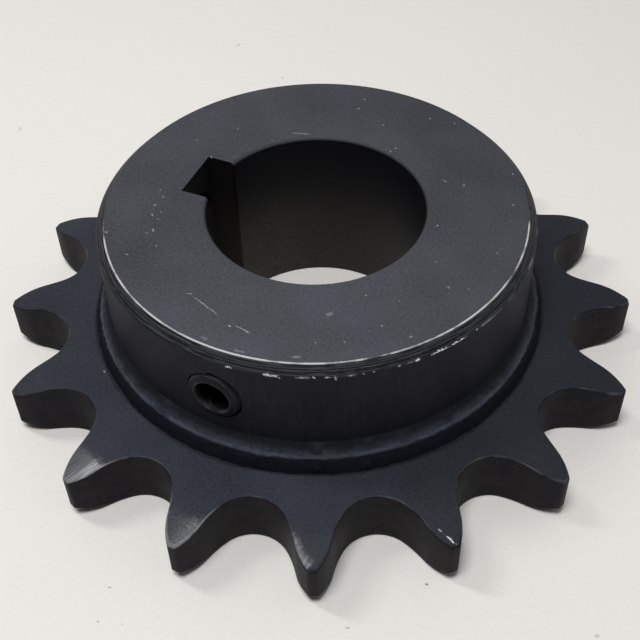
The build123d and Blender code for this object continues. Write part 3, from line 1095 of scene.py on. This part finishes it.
def weldTree(inputs, sizes):
    tree, given = newTree("weldRing", "GeometryNodeTree", inputs)
    grid, column, row = startGrid(tree, given.columns, given.rows + 2)
    angle = column * math.tau / given.columns
    # share across the bead: 0 at the hub, 1 at the plate; the last two rows close it in the corner
    share = calc("MINIMUM", row / (given.rows - 1), 1.0)
    cos, sin = calc("COSINE", angle), calc("SINE", angle)
    around = joinXYZ(cos, sin, given.seed)

    def unevenness(shift, scale, detail):
        return (noiseValue(vectorCalc("ADD", around, shift), scale, detail, 0.6) - 0.5) * 2

    hubToe = (unevenness((0, 0, 0), 5.0, 4.0) + unevenness((1, 6, 2), 18.0, 3.0) * 0.7) * given.waviness
    plateToe = (unevenness((3, 1, 4), 6.0, 4.0) + unevenness((8, 1, 5), 22.0, 3.0) * 0.6) * given.waviness
    middle = 1 + unevenness((7, 2, 1), 9.0, 3.0) * 0.2
    # the section is a curve from toe to toe, drawn out towards a shoulder
    left, right = 1 - share, share
    pull = left * right * 2 * given.shoulderWeight
    total = left * left + pull + right * right
    out = (pull * given.shoulderOut * middle + right * right * (given.plateLeg + plateToe)) / total
    rise = (left * left * (given.hubLeg + hubToe) + pull * given.shoulderUp * middle) / total
    bulge = 4 * left * right
    # lumps, the overlap's step, ripples and patches stand out square to the bead
    swell = 0.0
    for direction, length, downShare, covered, height in sizes["lumps"]:
        beside = 1 - fade(awayFrom(angle, direction), 0.0, length / 2 / sizes["hubRadius"])
        swell = beside * band(share, downShare, covered) * (height * mm) + swell
    start, shift, length, height = sizes["overlap"]
    past = angle - math.radians(start) - share * math.radians(shift)
    step = fade(past, 0.0, 0.006) * (1 - fade(past, 0.006, length / sizes["hubRadius"]))
    swell = step * (height * mm) * calc("SQRT", bulge) + swell
    ripples = calc("ROUND", given.hubRadius * math.tau / given.rippleLength)
    phase = angle * ripples + (left * right * 2.2 + noiseValue(around, 30.0) * 1.2) * math.tau
    ripple = (calc("SINE", phase) + 1) * given.rippleHeight * bulge
    patch = noiseValue(joinXYZ(cos, sin, share * 0.16), 26.0, 3.0, 0.6) - 0.5
    swell = (swell + ripple + patch * given.lumpiness * bulge) * fade(share, 0.0, 0.07, "LINEAR")
    slant = calc("SQRT", given.hubLeg * given.hubLeg + given.plateLeg * given.plateLeg)
    radius = given.hubRadius + out + swell * given.hubLeg / slant
    height = given.plateHeight + rise + swell * given.plateLeg / slant
    corner, closing = calc("COMPARE", row, given.rows, 0.5), calc("COMPARE", row, given.rows + 1, 0.5)
    radius = blendValue(closing, blendValue(corner, radius, given.hubRadius), given.hubRadius)
    height = blendValue(corner, height, given.plateHeight)
    height = blendValue(closing, height, given.plateHeight + given.hubLeg + hubToe)
    place = joinXYZ(cos * radius, sin * radius, height)
    return finishGrid(grid, place, "across", share * (1 - closing), given.material)


def buildWeld(sizes, material):
    inputs = {
        "columns": sizes["columns"],
        "rows": sizes["rows"],
        **inMetres(sizes, "hubRadius", "plateHeight", "plateLeg", "hubLeg", "shoulderOut", "shoulderUp"),
        **inMetres(sizes, "rippleLength", "rippleHeight", "waviness", "lumpiness"),
        "shoulderWeight": sizes["shoulderWeight"],
        "seed": sizes["seed"],
        "material": material,
    }
    weld = growMesh("weldBead", weldTree(inputs, sizes), inputs)
    tidyFaces(weld.data, 50)
    return weld


def weldMaterial():
    material, place, _ = startMaterial("weldOxide", 0.1)
    across = readAttribute(place, "across")
    dark, light = (0.009, 0.0114, 0.0168), (0.0425, 0.0505, 0.068)
    steel = placeGroup(oxideTone, place=place, dark=dark, light=light, cloudScale=90.0)
    patchy = fade(noiseValue(place, 210.0, 4.0, 0.7), 0.42, 0.62) * 0.4
    tone = blendColor(patchy, steel.tone, (0.052, 0.059, 0.074))
    # painted shade at the hub's toe, a painted highlight along a broken crest, and painted shade again on the
    # steep side below it
    broken = noiseValue(place, 120.0, 3.0, 0.6)
    toeShade = 1 - fade(across + (broken - 0.5) * 0.1, 0.04, 0.3)
    tone = blendColor(toeShade * 0.9, tone, (0.0055, 0.006, 0.0085))
    crest = band(across, 0.43, 0.17) * (fade(broken, 0.3, 0.6) * 0.75 + 0.25)
    tone = blendColor(crest, tone, (0.066, 0.074, 0.095))
    lowerShade = fade(across + (broken - 0.5) * 0.12, 0.5, 0.62)
    lowShadeTone = blendColor(steel.grain, (0.0022, 0.0028, 0.0052), (0.0140, 0.0160, 0.0235))
    tone = blendColor(lowerShade, tone, lowShadeTone)
    return finishMaterial(material, tone, 0.5 + steel.grain * 0.2, steel.grain * 0.6, 0.4)


finishPiece(buildWeld(weldSizes, weldMaterial()), "weld_bead")


# the set screws
screwSizes = {
    "radius": 7.9375,
    "height": 36.0,
    "socketEnd": 59.7375,
    "faceRadius": 5.3375,
    "mouthRadius": 4.95,
    "mouthDepth": 2.4,
    "flatRadius": 3.96875,
    "socketDepth": 7.0,
    "cupRadius": 3.95,
    "cupDepth": 1.6,
    # the end's rounded chamfer, down to the full thread: (radius, distance from the bore's axis)
    "chamfer": ((5.3375, 59.7375), (6.95, 58.95), (7.15, 58.15), (7.9375, 57.3)),
    "columns": 120,
    "threadRow": 0.22,
}
screws = {
    # name: direction, point's distance from the bore's axis, turn of the hexagon, node
    "sideSetScrew": (88, 34.339, 22, "side_set_screw"),
    "keywaySetScrew": (0, 40.683, 10, "keyway_set_screw"),
}


def screwTree(inputs):
    tree, given = newTree("threadedScrew", "GeometryNodeTree", inputs)
    grid, column, row = startGrid(tree, given.columns, given.sectionRows)
    section, stored = readGuide(given, "zone", row)
    radius, distance, kind = splitXYZ(section)
    angle = column * math.tau / given.columns
    sixth = math.pi / 3
    local = calc("WRAP", angle - given.hexagonTurn, sixth, 0.0) - sixth / 2
    hexagon = given.flatRadius / calc("COSINE", local)
    phase = calc("FRACT", distance / given.pitch - angle / math.tau + 64.0)
    crest = calc("ABSOLUTE", phase - 0.5) * 2
    share = fade(crest, given.flat, 1 - given.flat, "LINEAR")
    thread = calc("MINIMUM", radius, given.crest - given.depth * (1 - share))
    isHexagon, isMouth, isThread = (calc("COMPARE", kind, number, 0.4) for number in (1.0, 2.0, 3.0))
    shaped = blendValue(isThread, blendValue(isHexagon, radius, hexagon * radius), thread)
    # the mouth cone's last row lies on the hexagon, as deep as the cone is where it has narrowed to that:
    # deeper at the flats than at the corners
    shaped = blendValue(isMouth, shaped, hexagon)
    deeper = (hexagon - given.flatRadius) / (given.mouthRadius - given.flatRadius)
    distance = distance + isMouth * deeper * given.mouthDepth
    place = joinXYZ(shaped * calc("COSINE", angle), shaped * calc("SINE", angle), distance)
    return finishGrid(grid, place, "zone", splitXYZ(stored)[0], given.material)


def chamferRadius(chamfer, distance):
    for (outerRadius, outerEnd), (nextRadius, nextEnd) in zip(chamfer, chamfer[1:]):
        if distance > nextEnd:
            return outerRadius + (nextRadius - outerRadius) * (outerEnd - distance) / (outerEnd - nextEnd)
    return chamfer[-1][0]


def screwRows(sizes, point):
    # rows of the screw's surface from the socket's middle out over the ring and down the thread: (radius,
    # distance from the bore's axis, kind: 0 round, 1 hexagon, 2 mouth cone, 3 thread), each with its zone: 0
    # in the socket, 1 on the ring, 2 outside
    end, face, radius = sizes["socketEnd"], sizes["faceRadius"], sizes["radius"]
    floor, wall = end - sizes["socketDepth"], sizes["socketDepth"] - sizes["mouthDepth"]
    socket = [(0, floor, 0), (0.5, floor, 1), (1, floor, 1)]
    socket += [(1, floor + wall * step / 6, 1) for step in range(1, 6)] + [(0, end - sizes["mouthDepth"], 2)]
    ring = [(sizes["mouthRadius"] + 0.02, end - 0.08, 0), (sizes["mouthRadius"] + 0.12, end, 0)]
    ring += [(face - 0.08, end, 0)]
    outside, level, cup = [], end - 0.06, sizes["cupRadius"]
    while level > point + radius - face:
        outside.append((chamferRadius(sizes["chamfer"], level), level, 3))
        level -= sizes["threadRow"]
    for step in range(10):
        share = step / 9
        outside.append((radius + (cup - radius) * share, point + (radius - face) * (1 - share), 3))
    outside += [(cup - 0.15, point + 0.05, 0), (cup * 0.5, point + sizes["cupDepth"] * 0.6, 0)]
    outside += [(0, point + sizes["cupDepth"], 0)]
    # the row nearest the chamfer's outer edge is worn bright as the ring is
    edge = sizes["chamfer"][1][1]
    bright = min(outside, key=lambda row: (row[2] != 3, abs(row[1] - edge)))
    rows = socket + ring + outside
    zones = [0] * len(socket) + [1] * len(ring) + [1 if row is bright else 2 for row in outside]
    return [(r if kind == 1 else r * mm, distance * mm, kind) for r, distance, kind in rows], zones


def buildScrews(sizes, material):
    tree = None
    for name, (direction, point, turn, node) in screws.items():
        rows, zones = screwRows(sizes, point)
        inputs = {
            "guide": None,
            "columns": sizes["columns"],
            "sectionRows": len(rows),
            **inMetres(sizes, "flatRadius", "mouthRadius", "mouthDepth"),
            **inMetres(threadSizes, "pitch", "crest", "depth"),
            "flat": threadSizes["flat"],
            "hexagonTurn": math.radians(turn),
            "material": material,
        }
        tree = tree or screwTree(inputs)
        guide = guidePoints(name + "Rows", rows, "zone", [(zone, 0, 0) for zone in zones])
        screw = growMesh(name, tree, inputs, guide)
        out = polar(1, direction).to_3d()
        upright = Matrix(((-out.y, out.x, 0), (0, 0, 1), out)).transposed().to_4x4()
        screw.data.transform(Matrix.Translation((0, 0, sizes["height"] * mm)) @ upright)
        tidyFaces(screw.data, 28)
        finishPiece(screw, node)


def screwMaterial():
    material, place, _ = startMaterial("screwOxide", 0.14)
    dark, light = (0.004, 0.004, 0.006), (0.014, 0.014, 0.018)
    steel = placeGroup(oxideTone, place=place, dark=dark, light=light, grainAmount=0.3)
    zone = readAttribute(place, "zone")
    # the socket and the point are painted near black: painted shade inside the socket
    tone = blendColor(1 - fade(zone, 0.75, 1.0), steel.tone, (0.0015, 0.0015, 0.002))
    ring = band(zone, 1.0, 0.6) * fade(noiseValue(place, 500.0, 3.0, 0.6), 0.3, 0.6)
    tone = blendColor(ring, tone, (0.045, 0.045, 0.05))
    return finishMaterial(material, tone, 0.42 + steel.grain * 0.2, steel.grain * 0.5)


buildScrews(screwSizes, screwMaterial())


# floor, light and camera
studio = {
    "worldFront": 0.04,
    "worldBack": 0.40,
    "worldBearing": 262.0,
    "worldColor": (1.0, 0.995, 0.985),
    # dark specks on the floor: (direction, distance, lean, length, width, strength)
    "specks": (
        (130.7, 88.4, 0, 0.9, 0.8, 1.0),
        (305.0, 161.9, 40, 2.6, 0.8, 0.6),
        (299.4, 135.8, 0, 1.6, 1.0, 0.6),
        (339.5, 152.2, 30, 3.2, 0.8, 0.5),
        (117.4, 96.3, 0, 0.9, 0.7, 0.6),
        (81.8, 99.2, 0, 0.8, 0.7, 0.6),
        (83.6, 108.0, 0, 0.9, 0.7, 0.6),
        (86.6, 105.8, 0, 0.7, 0.6, 0.5),
        (147.1, 118.7, 0, 1.4, 1.0, 0.4),
    ),
    # lamps aimed at the part, in metres and watts: (name, direction, elevation, distance, width, length,
    # power)
    "lamps": (
        ("upperLamp", 90.0, 76.0, 1.2, 0.46, 0.46, 9.0),
        ("leftLamp", 6.0, 58.0, 0.7, 0.08, 0.28, 0.98),
    ),
    # the camera's direction, and its distance from the axis and height in metres; how far it looks down, turns
    # aside and leans, in radians; its lens in millimetres
    "camera": (114.703, 0.22875, 0.24484),
    "aim": (0.80562, -0.00086, -0.03013),
    "lens": 63.0,
}


def buildFloor():
    material, place, _ = startMaterial("paleFloor")
    mottle, paper = noiseValue(place, 12.0, 3.0), noiseValue(place, 800.0, 3.0, 0.75)
    share = mottle * 0.4 + (paper - 0.5) * 2.0 + 0.3
    tone = blendColor(share, (0.80, 0.778, 0.744), (0.86, 0.836, 0.80))
    tone = blendColor(surfaceMarks(place, flatMarks(studio["specks"], 0)), tone, (0.22, 0.21, 0.20))
    work = bmesh.new()
    bmesh.ops.create_grid(work, x_segments=2, y_segments=2, size=3.0)
    material = finishMaterial(material, tone, 0.7 + mottle * 0.1, mottle, 0.05)
    addObject("floor", meshFrom(work, "floor", material))


def buildLight():
    # a wide lamp above, a small one to the side, and a dim room that is brighter behind the part
    world = bpy.data.worlds.new("studioWorld")
    bpy.context.scene.world = world
    world.use_nodes = True
    background = world.node_tree.nodes["Background"]
    direction = addTerm(world.node_tree, "ShaderNodeTexCoord", key="Generated")
    share = fade(towards(direction, studio["worldBearing"]), -0.6, 0.5)
    feed(background.inputs["Color"], studio["worldColor"])
    feed(background.inputs["Strength"], blendValue(share, studio["worldFront"], studio["worldBack"]))
    for name, bearing, elevation, distance, width, length, power in studio["lamps"]:
        lamp = bpy.data.lights.new(name, "AREA")
        lamp.shape, lamp.size, lamp.size_y, lamp.energy = "ELLIPSE", width, length, power
        across, height = polar(distance, elevation)
        placed = addObject(name, lamp)
        placed.location = (*polar(across, bearing), height)
        placed.rotation_euler = (-placed.location).to_track_quat("-Z", "Y").to_euler()


def buildCamera():
    (bearing, distance, height), (down, yaw, roll) = studio["camera"], studio["aim"]
    lens = bpy.data.cameras.new("camera")
    lens.lens, lens.sensor_width = studio["lens"], 36.0
    camera = addObject("camera", lens)
    turn = Matrix.Rotation(yaw + math.radians(bearing) + math.pi / 2, 4, "Z")
    turn = turn @ Matrix.Rotation(math.pi / 2 - down, 4, "X") @ Matrix.Rotation(roll, 4, "Z")
    camera.matrix_world = Matrix.Translation((*polar(distance, bearing), height)) @ turn
    bpy.context.scene.camera = camera


buildFloor()
buildLight()
buildCamera()
bpy.context.scene.view_settings.view_transform = "Standard"
print("floor, light and camera placed")
